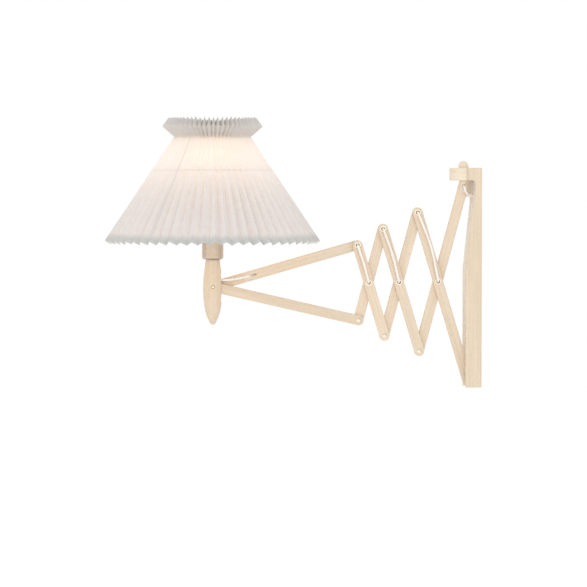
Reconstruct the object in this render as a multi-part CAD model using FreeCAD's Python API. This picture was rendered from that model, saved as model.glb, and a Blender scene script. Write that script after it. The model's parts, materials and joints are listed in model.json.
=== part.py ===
import FreeCAD, Part
import math
import os

# Scissor wall lamp with a pleated shade. Millimetres, +Z up.
# The wall is the plane X = 0 and the lamp reaches towards -X. The origin is the middle of the
# wall bar's back face. The linkage lies in two layers of slats: the layer nearer -Y and the far one.

V = FreeCAD.Vector

# ---- wall bar and bracket ----
bar_height = 440.0
bar_width = 56.0
bar_thickness = 32.0
bar_head_thickness = 27.6
bar_throat_thickness = 18.2
taper_start_z = 15.0
taper_end_z = 150.0
ledge_z = 162.5
notch_bottom_z = 164.0
notch_depth_x = -13.5
notch_corner = 5.0
trough_radius = 21.5
bar_edge_round = 1.2
wall_screw_z = 120.0
wall_screw_hole_r = 2.6
wall_screw_sink_r = 5.2
bracket_thickness = 25.0
bracket_half_width = 21.4
bracket_nose_x = -62.4
bracket_screw_y = 12.0
bracket_screw_length = 28.0
bracket_screw_r = 2.0
bracket_screw_head_r = 4.0

# ---- swivel ----
swivel_x = -34.2
dowel_r = 8.5
dowel_head_r = 10.0
dowel_top_z = 234.0
fork_bottom_z = 169.5
fork_flat_y = 7.5
fork_slot_half = 4.2
dowel_head_height = 5.0
dowel_head_gap = 0.3
dowel_foot_bevel = 1.5
top_pivot_z = 184.5

# ---- linkage ----
slat_width = 20.0
slat_thickness = 8.0
layer_gap = 0.2
slat_edge_round = 1.5
heel_r = 6.0
heel_ahead = 8.0
lean = math.radians(15.85)
droop = math.radians(0.8)
wall_reach = 199.0
tail_reach = 203.0
middle_reach = 144.6
outer_reach = 111.4
last_reach = 78.2
upper_arm_length = 301.4
lower_arm_length = 299.7
head_pin_r = 2.0
lower_arm_clearance = 4.5

# ---- pivots ----
running = 0.06
fit_gap = 0.05
eyelet_outer_r = 4.2
eyelet_bore_r = 3.4
eyelet_flange_r = 6.3
eyelet_flange_t = 0.9
eyelet_flare = 0.8
eyelet_edge_bevel = 0.35
face_gap = 0.1
screw_shank_r = 3.0
screw_head_r = 5.0
screw_head_height = 2.3
screw_thread_r = 1.6

# ---- cord ----
cord_r = 2.5
cord_stand_off = 3.7
cable_hole_z = 163.0
cable_bush_r = 4.5
arm_slot_start = 213.5
arm_slot_end = 232.5
arm_slot_clearance = 0.7
arm_cord_end = 256.0
arm_cord_rise = 1.8

# ---- head ----
handle_neck_r = 14.0
handle_belly_r = 19.4
handle_top_z = 36.5
handle_tip_z = -93.5
handle_profile = ((17.7, 8.0), (handle_belly_r, -25.0), (17.0, -55.0), (12.4, -75.0), (7.3, -86.8))
slot_above_pin = 26.0
slot_below_pin = 31.0
slot_half_width = 8.6
slot_floor_gap = 0.9
slot_corner_r = 4.0
lead_bore_r = 3.8
head_cap_r = 3.8
head_cap_inset = 2.6
tube_r = 5.0
tube_bore_r = 3.6
tube_in_handle = 13.0
tube_above_handle = 16.0
tube_nut_flats = 15.0
tube_nut_height = 4.0
cup_r = 21.5
cup_wall = 1.0
cup_corner_r = 6.0
cup_top_z = 98.0
holder_r = 19.0
holder_top_z = 103.0
holder_bore_r = 16.0
holder_wire_r = 3.0
holder_shoulder = 3.0
socket_floor = 6.0
thread_turns = 6
thread_pitch = 3.6
thread_shell_r = 15.2
thread_valley_r = 14.5
thread_crest_r = 13.8
lock_ring_r = 24.5
lock_ring_height = 6.0
bulb_seat_z = 66.0
bulb_r = 30.0
bulb_wall = 1.0
bulb_neck_r = 11.3
cap_valley_r = 12.6
cap_crest_r = 13.2
cap_bore_r = 11.4
cap_tip_r = 4.5
cap_tip_height = 3.4
bulb_centre_z = 139.0

# ---- shade ----
pleats = 60
paper = 0.5
panel_width = 14.0
base_ridge_r = 214.8
base_z = 75.5
base_tooth = 6.5
neck_ridge_r = 76.6
neck_z = 282.0
flare_ridge_r = 100.2
flare_z = 302.4
flare_dip = 2.0
rim_ridge_r = 88.0
rim_z = 319.5
rim_tooth = 12.0
carrier_ring_z = 214.7
carrier_wire_r = 1.6
carrier_legs = 3
carrier_hub_r = 27.0
carrier_hub_t = 1.6

# ---- worked out from the sizes above ----
bar_top = bar_height / 2
bracket_bottom = bar_top - bracket_thickness
far_face = slat_thickness / 2
far_inner = -slat_thickness / 2
near_inner = far_inner - layer_gap
near_face = near_inner - slat_thickness
layer_middle = (far_face + near_face) / 2
slat_r = slat_width / 2
tube_bottom_z = handle_top_z - tube_in_handle
tube_top_z = handle_top_z + tube_above_handle
head_cap_seat = handle_belly_r - head_cap_inset
Y_AXIS = V(0, 1, 0)
Z_AXIS = V(0, 0, 1)


def linkage_point(out, up):
    """A point of the linkage plane, given outwards and upwards from the top pivot, with the droop."""
    x = swivel_x - out * math.cos(droop) - up * math.sin(droop)
    z = top_pivot_z + up * math.cos(droop) - out * math.sin(droop)
    return V(x, 0, z)


def linkage_pivots():
    """Every pivot of the linkage at rest, by name."""
    sine = math.sin(lean)
    cosine = math.cos(lean)
    axis_up = -wall_reach * cosine
    found = {"top": V(swivel_x, 0, top_pivot_z)}
    out = wall_reach * sine
    reaches = (("wall", middle_reach), ("middle", outer_reach), ("outer", last_reach))
    for name, reach in reaches:
        found[name + "_cross"] = linkage_point(out, axis_up)
        found[name + "_upper"] = linkage_point(out + reach * sine, axis_up + reach * cosine)
        found[name + "_lower"] = linkage_point(out + reach * sine, axis_up - reach * cosine)
        out += 2 * reach * sine
    return found


def circle_crossing(first, first_r, second, second_r):
    """The crossing of two circles in the XZ plane that lies further from the wall."""
    between = second - first
    distance = between.Length
    along = (first_r ** 2 - second_r ** 2 + distance ** 2) / (2 * distance)
    aside = math.sqrt(first_r ** 2 - along ** 2)
    unit = between / distance
    side = V(unit.z, 0, -unit.x)
    if side.x > 0:
        side = side * -1
    return first + unit * along + side * aside


pivots = linkage_pivots()
head = circle_crossing(pivots["outer_upper"], upper_arm_length, pivots["outer_lower"], lower_arm_length)
head_axis = V(head.x, layer_middle, 0)


def cylinder(start, end, radius):
    """A round bar between two points."""
    run = end - start
    return Part.makeCylinder(radius, run.Length, start, run)


def cross_bore(pivot, radius, low_y, high_y):
    """A round bar along Y through a pivot, from one Y to another."""
    return cylinder(V(pivot.x, low_y, pivot.z), V(pivot.x, high_y, pivot.z), radius)


def block(low, high):
    """A box between two corners."""
    return Part.makeBox(high.x - low.x, high.y - low.y, high.z - low.z, low)


def side_profile(outline, low_y, high_y):
    """A plate of an outline of (x, z) points, from one Y to another."""
    points = [V(x, low_y, z) for x, z in outline]
    return Part.Face(Part.makePolygon(points + [points[0]])).extrude(V(0, high_y - low_y, 0))


def turned(edges, origin, axis):
    """A solid turned from a closed outline about an axis."""
    return Part.Face(Part.Wire(edges)).revolve(origin, axis, 360)


def turned_polygon(points, origin, axis):
    """A solid turned from a closed outline of straight sides."""
    return Part.Face(Part.makePolygon(points + [points[0]])).revolve(origin, axis, 360)


def turned_about_pivot(outline, pivot):
    """A solid turned about a pivot's Y axis, from (radius, y) points."""
    points = [V(pivot.x + radius, y, pivot.z) for radius, y in outline]
    return turned_polygon(points, V(pivot.x, 0, pivot.z), Y_AXIS)


def turned_on_head(outline):
    """A solid turned about the head's upright axis, from (radius, z) points."""
    points = [V(head_axis.x + radius, head_axis.y, z) for radius, z in outline]
    return turned_polygon(points, head_axis, Z_AXIS)


def dome_edge(centre, outwards, upwards, radius, height):
    """Arc of a ball from the rim of a dome to its top; centre is the middle of the dome's foot."""
    ball_r = (radius ** 2 + height ** 2) / (2 * height)
    ball_centre = centre + upwards * (height - ball_r)
    half_angle = math.atan2(radius, ball_r - height) / 2
    middle = ball_centre + outwards * (ball_r * math.sin(half_angle)) + upwards * (ball_r * math.cos(half_angle))
    return Part.Arc(centre + outwards * radius, middle, centre + upwards * height).toShape()


def export(name, shape):
    """Write one piece to its own file."""
    shape.exportStep("parts/" + name + ".step")


# ---------------------------------------------------------------- wall bar and bracket

def wall_bar():
    """Upright bar: tapered cheeks either side of a half-round trough, the near one notched under the head."""
    bar = side_profile([
        (0, -bar_top), (-bar_thickness, -bar_top), (-bar_thickness, taper_start_z),
        (-bar_throat_thickness, taper_end_z), (-bar_throat_thickness, ledge_z), (-bar_head_thickness, ledge_z),
        (-bar_head_thickness, bar_top), (0, bar_top),
    ], -bar_width / 2, bar_width / 2)
    notch = side_profile([
        (-bar_throat_thickness, taper_end_z), (notch_depth_x, notch_bottom_z), (notch_depth_x, bracket_bottom),
        (-bar_thickness, bracket_bottom), (-bar_thickness, taper_end_z),
    ], -bar_width, 0)
    inner_corner = [
        e for e in notch.Edges
        if e.BoundBox.XMin > notch_depth_x - 0.1 and e.BoundBox.ZMin > bracket_bottom - 0.1 and e.BoundBox.YLength > 1
    ]
    bar = bar.cut(notch.makeFillet(notch_corner, inner_corner))
    side_edges = [
        e for e in bar.Edges
        if e.BoundBox.YLength < 1e-6 and e.BoundBox.XMin < -1 and abs(e.BoundBox.YMin) > bar_width / 2 - 0.1
    ]
    bar = bar.makeFillet(bar_edge_round, side_edges)
    trough = cylinder(V(swivel_x, 0, -bar_top - 1), V(swivel_x, 0, bar_top + 1), trough_radius)
    bar = bar.cut(trough)
    cuts = [cylinder(V(-bar_thickness, 0, cable_hole_z), V(1, 0, cable_hole_z), cable_bush_r)]
    floor_x = swivel_x + trough_radius
    for z in (-wall_screw_z, wall_screw_z):
        cuts.append(cylinder(V(-bar_thickness, 0, z), V(1, 0, z), wall_screw_hole_r))
        sink_depth = wall_screw_sink_r - wall_screw_hole_r
        cuts.append(
            Part.makeCone(
                wall_screw_sink_r, wall_screw_hole_r, sink_depth, V(floor_x, 0, z), V(1, 0, 0)
            )
        )
        cuts.append(cylinder(V(floor_x - 3, 0, z), V(floor_x, 0, z), wall_screw_sink_r))
    cuts.append(bracket_screw_shapes(running))
    return bar.cut(cuts)


def bracket_screw_shapes(clearance):
    """The two countersunk screws that hold the bracket from behind, or with clearance their holes."""
    screws = []
    z = (bar_top + bracket_bottom) / 2
    for y in (-bracket_screw_y, bracket_screw_y):
        shank = cylinder(V(0, y, z), V(-bracket_screw_length, y, z), bracket_screw_r + clearance)
        head_depth = bracket_screw_head_r - bracket_screw_r
        sink = Part.makeCone(
            bracket_screw_head_r + clearance, bracket_screw_r + clearance, head_depth, V(0, y, z), V(-1, 0, 0)
        )
        screws.append(shank.fuse(sink))
    return Part.makeCompound(screws)


def top_bracket():
    """Tongue with two half-round ends: the inner one seats in the trough, the outer one is the nose."""
    nose_centre_x = bracket_nose_x + bracket_half_width
    bottom = V(0, 0, bracket_bottom)
    inner = Part.makeCylinder(bracket_half_width, bracket_thickness, V(swivel_x, 0, 0) + bottom)
    nose = Part.makeCylinder(bracket_half_width, bracket_thickness, V(nose_centre_x, 0, 0) + bottom)
    middle = block(
        V(nose_centre_x, -bracket_half_width, bracket_bottom), V(swivel_x, bracket_half_width, bar_top)
    )
    bracket = inner.fuse([nose, middle]).removeSplitter()
    rims = [e for e in bracket.Edges if e.BoundBox.ZLength < 1e-6]
    bracket = bracket.makeFillet(bar_edge_round, rims)
    dowel_hole = cylinder(
        V(swivel_x, 0, bracket_bottom - 1), V(swivel_x, 0, bar_top + 1), dowel_r + running
    )
    return bracket.cut([dowel_hole, bracket_screw_shapes(running)])


def cable_bush():
    """Sleeve that lines the cord's inlet from the wall."""
    floor_x = swivel_x + trough_radius
    outside = cylinder(V(floor_x - 1.5, 0, cable_hole_z), V(0, 0, cable_hole_z), cable_bush_r - running)
    return outside.cut(cylinder(V(-30, 0, cable_hole_z), V(1, 0, cable_hole_z), cord_r + 0.5))


# ---------------------------------------------------------------- swivel

def swivel_dowel():
    """Dowel that turns in the bracket: domed head above, fork for the first slat below."""
    head_bottom = bar_top + dowel_head_gap
    head_side = head_bottom + dowel_head_height
    foot_r = dowel_r - dowel_foot_bevel
    x = swivel_x

    def at(radius, z):
        return V(x + radius, 0, z)

    outline = [
        Part.makeLine(at(0, fork_bottom_z), at(foot_r, fork_bottom_z)),
        Part.makeLine(at(foot_r, fork_bottom_z), at(dowel_r, fork_bottom_z + dowel_foot_bevel)),
        Part.makeLine(at(dowel_r, fork_bottom_z + dowel_foot_bevel), at(dowel_r, head_bottom)),
        Part.makeLine(at(dowel_r, head_bottom), at(dowel_head_r, head_bottom)),
        Part.makeLine(at(dowel_head_r, head_bottom), at(dowel_head_r, head_side)),
        dome_edge(V(x, 0, head_side), V(1, 0, 0), Z_AXIS, dowel_head_r, dowel_top_z - head_side),
        Part.makeLine(at(0, dowel_top_z), at(0, fork_bottom_z)),
    ]
    dowel = turned(outline, V(x, 0, 0), Z_AXIS)
    slot = block(
        V(x - 20, -fork_slot_half, fork_bottom_z - 1), V(x + 20, fork_slot_half, bracket_bottom)
    )
    near_flat = block(V(x - 20, -20, fork_bottom_z - 1), V(x + 20, -fork_flat_y, bracket_bottom - 0.5))
    far_flat = block(V(x - 20, fork_flat_y, fork_bottom_z - 1), V(x + 20, 20, bracket_bottom - 0.5))
    hinge_hole = cross_bore(pivots["top"], eyelet_outer_r + running, -20, 20)
    return dowel.cut([slot, near_flat, far_flat, hinge_hole])


def top_hinge_tube():
    """Hollow hinge pin of the first slat, flush with the fork; the cord runs through it."""
    tube = cross_bore(pivots["top"], eyelet_outer_r, -fork_flat_y, fork_flat_y)
    return tube.cut(cross_bore(pivots["top"], eyelet_bore_r, -20, 20))


# ---------------------------------------------------------------- slats and arms

def rounded_plate(wire, low_y):
    """A slat of an outline in the XZ plane, with all its long edges rounded over."""
    wire.translate(V(0, low_y, 0))
    plate = Part.Face(wire).extrude(V(0, slat_thickness, 0))
    outline = [e for e in plate.Edges if e.BoundBox.YLength < 1e-6]
    return plate.makeFillet(slat_edge_round, outline)


def slat_outline(start, end):
    """Outline of a straight slat with a round end about each pivot."""
    along = (end - start).normalize()
    side = V(-along.z, 0, along.x) * slat_r
    cap = along * slat_r
    return Part.Wire([
        Part.makeLine(start + side, end + side),
        Part.Arc(end + side, end + cap, end - side).toShape(),
        Part.makeLine(end - side, start - side),
        Part.Arc(start - side, start - cap, start + side).toShape(),
    ])


def heeled_outline(start, cross, tail):
    """Outline of the lowest slat: round at its upper end, a heel on the tail that slides in the trough.

    The heel is the hull of the slat's round end and a smaller circle ahead of it, on the outer edge.
    """
    along = (tail - start).normalize()
    outer = V(along.z, 0, -along.x)
    if outer.x > 0:
        outer = outer * -1
    toe = tail + along * heel_ahead + outer * (slat_r - heel_r)
    turn = math.atan2(slat_r - heel_r, heel_ahead) - math.acos(
        (slat_r - heel_r) / math.hypot(heel_ahead, slat_r - heel_r)
    )

    def around(centre, radius, angle):
        return centre + along * (radius * math.cos(angle)) + outer * (radius * math.sin(angle))

    quarter = math.pi / 2
    heel_arc = Part.Arc(
        around(toe, heel_r, quarter), around(toe, heel_r, (quarter + turn) / 2), around(toe, heel_r, turn)
    )
    tail_arc = Part.Arc(
        around(tail, slat_r, turn), around(tail, slat_r, (turn - quarter) / 2), around(tail, slat_r, -quarter)
    )
    return Part.Wire([
        Part.makeLine(start + outer * slat_r, around(toe, heel_r, quarter)),
        heel_arc.toShape(),
        Part.makeLine(around(toe, heel_r, turn), around(tail, slat_r, turn)),
        tail_arc.toShape(),
        Part.makeLine(around(tail, slat_r, -quarter), start - outer * slat_r),
        Part.Arc(start - outer * slat_r, start - along * slat_r, start + outer * slat_r).toShape(),
    ])


def drilled(plate, holes):
    """A slat with its pivot holes; holes are (pivot, radius)."""
    return plate.cut([cross_bore(pivot, radius, -30, 30) for pivot, radius in holes])


def slats():
    """The six slats of the linkage, by node name."""
    turning = eyelet_outer_r + running
    screw_hole = screw_shank_r + running
    wall_cross = pivots["wall_cross"]
    tail = wall_cross + (wall_cross - pivots["wall_upper"]).normalize() * tail_reach
    low = {"far": far_inner, "near": near_face}
    made = {
        "wall_slat_far": rounded_plate(slat_outline(pivots["top"], pivots["wall_lower"]), low["far"]),
        "wall_slat_near": rounded_plate(
            heeled_outline(pivots["wall_upper"], wall_cross, tail), low["near"]
        ),
    }
    holes = {
        "wall_slat_far": [("top", turning), ("wall_cross", turning), ("wall_lower", screw_hole)],
        "wall_slat_near": [("wall_upper", turning), ("wall_cross", turning)],
    }
    for inner, name in (("wall", "middle"), ("middle", "outer")):
        for layer, start, end in (("far", "_upper", "_lower"), ("near", "_lower", "_upper")):
            node = name + "_slat_" + layer
            made[node] = rounded_plate(
                slat_outline(pivots[inner + start], pivots[name + end]), low[layer]
            )
            upper, lower = (inner, name) if layer == "far" else (name, inner)
            holes[node] = [
                (upper + "_upper", turning), (name + "_cross", turning), (lower + "_lower", screw_hole)
            ]
    return {
        node: drilled(plate, [(pivots[pivot], radius) for pivot, radius in holes[node]])
        for node, plate in made.items()
    }


def upper_arm():
    """Long arm of the far layer, with the slot through which the cord changes sides."""
    start = pivots["outer_upper"]
    arm = rounded_plate(slat_outline(start, head), far_inner)
    arm = drilled(arm, [(start, eyelet_outer_r + running), (head, head_pin_r + running)])
    along = (head - start).normalize()
    first = start + along * arm_slot_start
    last = start + along * arm_slot_end
    slot_r = cord_r + arm_slot_clearance
    side = V(-along.z, 0, along.x) * slot_r
    middle = Part.Face(Part.makePolygon([first + side, last + side, last - side, first - side, first + side]))
    middle.translate(V(0, -20, 0))
    return arm.cut([
        cross_bore(first, slot_r, -20, 20),
        cross_bore(last, slot_r, -20, 20),
        middle.extrude(V(0, 40, 0)),
    ])


def lower_arm():
    """Long arm of the near layer; its wide end hole gives the closed linkage its play at the head."""
    start = pivots["outer_lower"]
    arm = rounded_plate(slat_outline(start, head), near_face)
    return drilled(arm, [(start, screw_shank_r + running), (head, head_pin_r + lower_arm_clearance)])


# ---------------------------------------------------------------- pivot hardware

def eyelet(pivot):
    """Hollow rivet through both layers, flanged and flared at both ends for the cord."""
    near = near_face - face_gap
    far = far_face + face_gap
    flare = eyelet_flare
    edge = eyelet_edge_bevel
    return turned_about_pivot([
        (eyelet_bore_r + flare, near - eyelet_flange_t),
        (eyelet_flange_r - edge, near - eyelet_flange_t),
        (eyelet_flange_r, near - eyelet_flange_t + edge),
        (eyelet_flange_r, near),
        (eyelet_outer_r, near),
        (eyelet_outer_r, far),
        (eyelet_flange_r, far),
        (eyelet_flange_r, far + eyelet_flange_t - edge),
        (eyelet_flange_r - edge, far + eyelet_flange_t),
        (eyelet_bore_r + flare, far + eyelet_flange_t),
        (eyelet_bore_r, far + eyelet_flange_t - flare),
        (eyelet_bore_r, near - eyelet_flange_t + flare),
    ], pivot)


def domed_screw(pivot, head_r, shank_r, near, far, thread_length):
    """Screw along Y with a domed head at its near end and a thinner thread past its far end."""
    x = pivot.x
    z = pivot.z
    outline = [
        dome_edge(V(x, near, z), V(1, 0, 0), V(0, -1, 0), head_r, screw_head_height),
        Part.makeLine(V(x + head_r, near, z), V(x + shank_r, near, z)),
        Part.makeLine(V(x + shank_r, near, z), V(x + shank_r, far, z)),
        Part.makeLine(V(x + shank_r, far, z), V(x + screw_thread_r, far, z)),
        Part.makeLine(V(x + screw_thread_r, far, z), V(x + screw_thread_r, far + thread_length, z)),
        Part.makeLine(V(x + screw_thread_r, far + thread_length, z), V(x, far + thread_length, z)),
        Part.makeLine(V(x, far + thread_length, z), V(x, near - screw_head_height, z)),
    ]
    return turned(outline, V(x, 0, z), Y_AXIS)


def domed_nut(pivot, head_r, seat):
    """Cap nut on the far side, with a blind hole for the screw's thread."""
    x = pivot.x
    z = pivot.z
    outline = [
        dome_edge(V(x, seat, z), V(1, 0, 0), Y_AXIS, head_r, screw_head_height),
        Part.makeLine(V(x, seat + screw_head_height, z), V(x, seat, z)),
        Part.makeLine(V(x, seat, z), V(x + head_r, seat, z)),
    ]
    return turned(outline, V(x, 0, z), Y_AXIS).cut(cross_bore(pivot, screw_thread_r, seat - 1, seat + 1.5))


# ---------------------------------------------------------------- cord

def rounded_route(points):
    """Straight runs joined by tangent arcs, each as large as its two runs allow, and their length."""
    edges = []
    length = 0.0
    previous = points[0]
    radii = []
    for before, corner, after in zip(points, points[1:], points[2:]):
        come = (corner - before).normalize()
        leave = (after - corner).normalize()
        half_turn = come.getAngle(leave) / 2
        tangent = 0.45 * min((corner - before).Length, (after - corner).Length)
        radius = tangent / math.tan(half_turn)
        radii.append(radius)
        bend_start = corner - come * tangent
        bend_end = corner + leave * tangent
        bulge = radius / math.cos(half_turn) - radius
        bend_middle = corner + (leave - come).normalize() * bulge
        edges.append(Part.makeLine(previous, bend_start))
        edges.append(Part.Arc(bend_start, bend_middle, bend_end).toShape())
        length += (bend_start - previous).Length + 2 * half_turn * radius
        previous = bend_end
    edges.append(Part.makeLine(previous, points[-1]))
    length += (points[-1] - previous).Length
    return Part.Wire(edges), length, radii


def cord(name, points):
    """Round cord along a route; prints its length, tightest radius and how true its volume is."""
    route, length, radii = rounded_route(points)
    start = points[0]
    ring = Part.Wire([Part.Circle(start, points[1] - start, cord_r).toShape()])
    tube = route.makePipeShell([ring], True, False)
    share = tube.Volume / (math.pi * cord_r ** 2 * length)
    print(name, "length", round(length, 1), "least radius", round(min(radii), 1), "volume", round(share, 4))
    return tube


def stretch_points(start, end, side, bow, start_y, start_run):
    """Route of a stretch that leaves one hollow pivot, lies along a slat and enters the next.

    side is -1 on the near face and +1 on the far face; bow is how far it lies off the slat's middle.
    """
    end_run = slat_run_y(side)
    across = (end - start).cross(Y_AXIS).normalize()
    if across.x < 0:
        across = across * -1
    middle = (start + end) / 2 + across * bow
    return [
        V(start.x, start_y, start.z),
        V(start.x, start_run, start.z),
        V(middle.x, (start_run + end_run) / 2, middle.z),
        V(end.x, end_run, end.z),
        V(end.x, layer_middle, end.z),
    ]


def slat_run_y(side):
    """Height of the cord's middle where it lies along a slat."""
    return far_face + cord_stand_off if side > 0 else near_face - cord_stand_off


def linkage_cords():
    """The stretches that ride on the six slats, by node name."""
    fork_run = fork_flat_y + cord_stand_off
    plan = [
        ("cord_wall_slat_far", "top", "wall_cross", 1, 2.5, 0.0, fork_run),
        ("cord_wall_slat_near", "wall_cross", "wall_upper", -1, 5.0, None, None),
        ("cord_middle_slat_far", "wall_upper", "middle_cross", 1, 2.5, None, None),
        ("cord_middle_slat_near", "middle_cross", "middle_upper", -1, 4.0, None, None),
        ("cord_outer_slat_far", "middle_upper", "outer_cross", 1, 2.5, None, None),
        ("cord_outer_slat_near", "outer_cross", "outer_upper", -1, 2.5, None, None),
    ]
    made = {}
    for name, start, end, side, bow, start_y, start_run in plan:
        first_y = layer_middle if start_y is None else start_y
        first_run = slat_run_y(side) if start_run is None else start_run
        points = stretch_points(pivots[start], pivots[end], side, bow, first_y, first_run)
        made[name] = cord(name, points)
    return made


def cord_wall_loop():
    """Loose loop from the inlet in the trough to the near mouth of the top hinge tube."""
    top = pivots["top"]
    return cord("cord_wall_loop", [
        V(-0.6, 0, cable_hole_z),
        V(-22.0, -1.0, cable_hole_z),
        V(-31.5, -13.0, 171.0),
        V(top.x, -17.0, top.z),
        V(top.x, 0, top.z),
    ])


def arm_point(along, y, above):
    """A point beside the upper arm: along it from its top pivot, at a Y, above its middle line."""
    start = pivots["outer_upper"]
    unit = (head - start).normalize()
    up = V(-unit.z, 0, unit.x)
    if up.z < 0:
        up = up * -1
    point = start + unit * along + up * above
    return V(point.x, y, point.z)


def cord_upper_arm():
    """Stretch on the upper arm: far face first, then through the slot to the near face."""
    start = pivots["outer_upper"]
    far_run = slat_run_y(1)
    near_run = far_inner - cord_stand_off
    return cord("cord_upper_arm", [
        V(start.x, layer_middle, start.z),
        V(start.x, far_run, start.z),
        arm_point(105.0, far_run, 2.0),
        arm_point(212.5, far_run, 0.0),
        arm_point(233.5, near_run, 0.0),
        arm_point(arm_cord_end, near_run, arm_cord_rise),
    ])


def cord_head_lead():
    """Free stretch from the upper arm into the handle's slot and up its bore to the lampholder."""
    near_run = far_inner - cord_stand_off
    top = handle_top_z + 14.0
    return cord("cord_head_lead", [
        arm_point(arm_cord_end + 0.1, near_run, arm_cord_rise),
        arm_point(272.0, near_run, 2.4),
        V(head.x + 13.0, near_run - 0.3, head.z + 13.0),
        V(head.x + 0.5, layer_middle - 0.4, head.z + 23.0),
        V(head.x + 0.2, layer_middle, head.z + 40.0),
        V(head.x, layer_middle, top),
    ])


# ---------------------------------------------------------------- head

def handle():
    """Turned grip: full belly, rounded tip, slender neck; slotted on the wall side for the arms."""
    x = head_axis.x
    y = head_axis.y

    def at(radius, z):
        return V(x + radius, y, z)

    profile = Part.BSplineCurve()
    profile.interpolate(
        Points=[
            at(handle_neck_r, handle_top_z),
            *[at(radius, z) for radius, z in handle_profile],
            at(0, handle_tip_z),
        ],
        InitialTangent=V(0.1, 0, -1),
        FinalTangent=V(-1, 0, 0),
    )
    outline = [
        Part.makeLine(at(0, handle_top_z), at(handle_neck_r, handle_top_z)),
        profile.toShape(),
        Part.makeLine(at(0, handle_tip_z), at(0, handle_top_z)),
    ]
    body = turned(outline, head_axis, Z_AXIS)
    slot = block(
        V(x - slat_r - slot_floor_gap, y - slot_half_width, head.z - slot_below_pin),
        V(x + 40, y + slot_half_width, head.z + slot_above_pin),
    )
    corners = [e for e in slot.Edges if e.BoundBox.XLength < 1e-6 and e.BoundBox.ZLength < 1e-6]
    slot = slot.makeFillet(slot_corner_r, [e for e in corners if e.BoundBox.XMin < x])
    pin_hole = cylinder(V(x, y - 40, head.z), V(x, y + 40, head.z), head_pin_r + running)
    near_seat = cylinder(V(x, y - 40, head.z), V(x, y - head_cap_seat, head.z), head_cap_r + running)
    far_seat = cylinder(V(x, y + head_cap_seat, head.z), V(x, y + 40, head.z), head_cap_r + running)
    lead_bore = cylinder(V(x, y, head.z + slot_above_pin - 1), V(x, y, handle_top_z + 1), lead_bore_r)
    tube_socket = cylinder(V(x, y, tube_bottom_z), V(x, y, handle_top_z + 1), tube_r)
    return body.cut([slot, pin_hole, near_seat, far_seat, lead_bore, tube_socket])


def head_pin_screw():
    """Pin of the head: domed head in the near cheek, running through both arms."""
    near = head_axis.y - head_cap_seat
    far = head_axis.y + head_cap_seat
    return domed_screw(head, head_cap_r, head_pin_r, near, far, 1.5)


def head_pin_nut():
    """Cap nut of the head pin, in the far cheek."""
    return domed_nut(head, head_cap_r, head_axis.y + head_cap_seat)


def threaded_tube():
    """Hollow threaded tube that joins the handle, the cup and the lampholder."""
    return turned_on_head([
        (tube_bore_r, tube_bottom_z), (tube_r, tube_bottom_z), (tube_r, tube_top_z), (tube_bore_r, tube_top_z)
    ])


def tube_nut():
    """Hexagonal nut that clamps the cup on the threaded tube."""
    corner_r = tube_nut_flats / math.sqrt(3)
    low = handle_top_z + cup_wall
    corners = [
        V(
            head_axis.x + corner_r * math.cos(math.radians(60 * k)),
            head_axis.y + corner_r * math.sin(math.radians(60 * k)),
            low,
        )
        for k in range(7)
    ]
    nut = Part.Face(Part.makePolygon(corners)).extrude(V(0, 0, tube_nut_height))
    return nut.cut(cylinder(head_axis + V(0, 0, low - 1), head_axis + V(0, 0, low + tube_nut_height + 1), tube_r))


def lampholder_cup():
    """Thin drawn cup with a rounded bottom edge that covers the lampholder."""
    corner = cup_corner_r
    inner_r = cup_r - cup_wall
    hole_r = tube_r + fit_gap
    slope = math.sqrt(0.5)
    x = head_axis.x
    y = head_axis.y
    low = handle_top_z

    def at(radius, z):
        return V(x + radius, y, z)

    inner_corner = corner - cup_wall
    outer_mid = at(cup_r - corner + corner * slope, low + corner - corner * slope)
    inner_mid = at(
        cup_r - corner + inner_corner * slope, low + corner - inner_corner * slope
    )
    outline = [
        Part.makeLine(at(hole_r, low), at(cup_r - corner, low)),
        Part.Arc(at(cup_r - corner, low), outer_mid, at(cup_r, low + corner)).toShape(),
        Part.makeLine(at(cup_r, low + corner), at(cup_r, cup_top_z)),
        Part.makeLine(at(cup_r, cup_top_z), at(inner_r, cup_top_z)),
        Part.makeLine(at(inner_r, cup_top_z), at(inner_r, low + corner)),
        Part.Arc(at(inner_r, low + corner), inner_mid, at(cup_r - corner, low + cup_wall)).toShape(),
        Part.makeLine(at(cup_r - corner, low + cup_wall), at(hole_r, low + cup_wall)),
        Part.makeLine(at(hole_r, low + cup_wall), at(hole_r, low)),
    ]
    return turned(outline, head_axis, Z_AXIS)


def lampholder_body():
    """Insulating body of the lampholder: threaded tube below, socket for the bulb above."""
    low = handle_top_z + cup_wall + tube_nut_height + 0.5
    floor_z = bulb_seat_z - socket_floor
    return turned_on_head([
        (tube_r, low),
        (holder_r - holder_shoulder, low),
        (holder_r, low + holder_shoulder),
        (holder_r, holder_top_z),
        (holder_bore_r, holder_top_z),
        (holder_bore_r, floor_z),
        (holder_wire_r, floor_z),
        (holder_wire_r, tube_top_z),
        (tube_r, tube_top_z),
    ])


def lampholder_thread():
    """Threaded brass shell inside the lampholder, seen as rounded rings."""
    low = bulb_seat_z - 1
    top = bulb_seat_z + thread_turns * thread_pitch + 1
    inner = [(thread_valley_r, low)]
    for turn in range(thread_turns):
        z = bulb_seat_z + turn * thread_pitch
        inner.append((thread_valley_r, z + 0.2 * thread_pitch))
        inner.append((thread_crest_r, z + 0.5 * thread_pitch))
        inner.append((thread_valley_r, z + 0.8 * thread_pitch))
    inner.append((thread_valley_r, top))
    return turned_on_head([(thread_shell_r, low), (thread_shell_r, top)] + inner[::-1])


def lampholder_contact():
    """Sprung centre contact under the bulb."""
    low = bulb_seat_z - socket_floor
    return turned_on_head([(0, low), (5, low), (5, low + 0.8), (3, low + 2.0), (0, low + 2.4)])


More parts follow.
